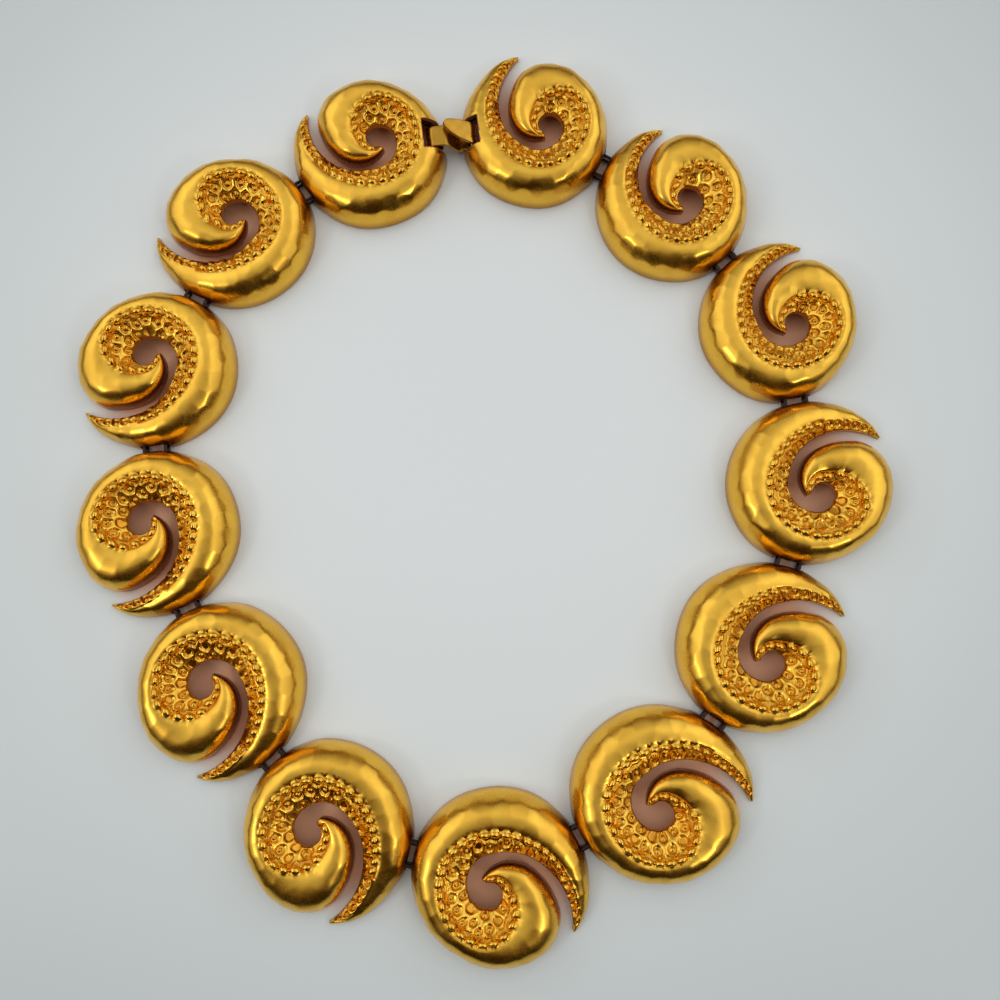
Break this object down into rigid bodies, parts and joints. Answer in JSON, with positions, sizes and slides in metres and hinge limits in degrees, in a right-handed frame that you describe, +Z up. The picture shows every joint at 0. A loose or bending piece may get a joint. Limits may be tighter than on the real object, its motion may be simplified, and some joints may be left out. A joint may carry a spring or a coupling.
{
  "type": "spiral choker",
  "caption": "Choker of domed, open-backed spiral medallions with a granulated band along each slot, linked by pairs of small rings and closed by a bent strip hook.",
  "frame": {"origin": "centre of the loop's bounding box on the plane that the rims rest on", "axes": "+Z up out of the domes, +Y towards the clasp, +X to the right with the clasp away from the viewer"},
  "size_m": [0.1678, 0.1881, 0.008],
  "materials": {
    "gold_medallion": "satin hammered gold-plated brass",
    "dark_gold_ring": "darkened gold-plated wire",
    "gold_clasp": "smooth gold-plated strip"
  },
  "bodies": {
    "root": {"medallion_01": "gold_medallion", "medallion_02": "gold_medallion", "medallion_03": "gold_medallion", "medallion_04": "gold_medallion", "medallion_05": "gold_medallion", "medallion_06": "gold_medallion", "medallion_07": "gold_medallion", "medallion_08": "gold_medallion", "medallion_09": "gold_medallion", "medallion_10": "gold_medallion", "medallion_11": "gold_medallion", "medallion_12": "gold_medallion", "medallion_13": "gold_medallion", "ring_01_a": "dark_gold_ring", "ring_01_b": "dark_gold_ring", "ring_02_a": "dark_gold_ring", "ring_02_b": "dark_gold_ring", "ring_03_a": "dark_gold_ring", "ring_03_b": "dark_gold_ring", "ring_04_a": "dark_gold_ring", "ring_04_b": "dark_gold_ring", "ring_05_a": "dark_gold_ring", "ring_05_b": "dark_gold_ring", "ring_06_a": "dark_gold_ring", "ring_06_b": "dark_gold_ring", "ring_07_a": "dark_gold_ring", "ring_07_b": "dark_gold_ring", "ring_08_a": "dark_gold_ring", "ring_08_b": "dark_gold_ring", "ring_09_a": "dark_gold_ring", "ring_09_b": "dark_gold_ring", "ring_10_a": "dark_gold_ring", "ring_10_b": "dark_gold_ring", "ring_11_a": "dark_gold_ring", "ring_11_b": "dark_gold_ring", "ring_12_a": "dark_gold_ring", "ring_12_b": "dark_gold_ring", "clasp_hook": "gold_clasp"}
  },
  "joints": []
}
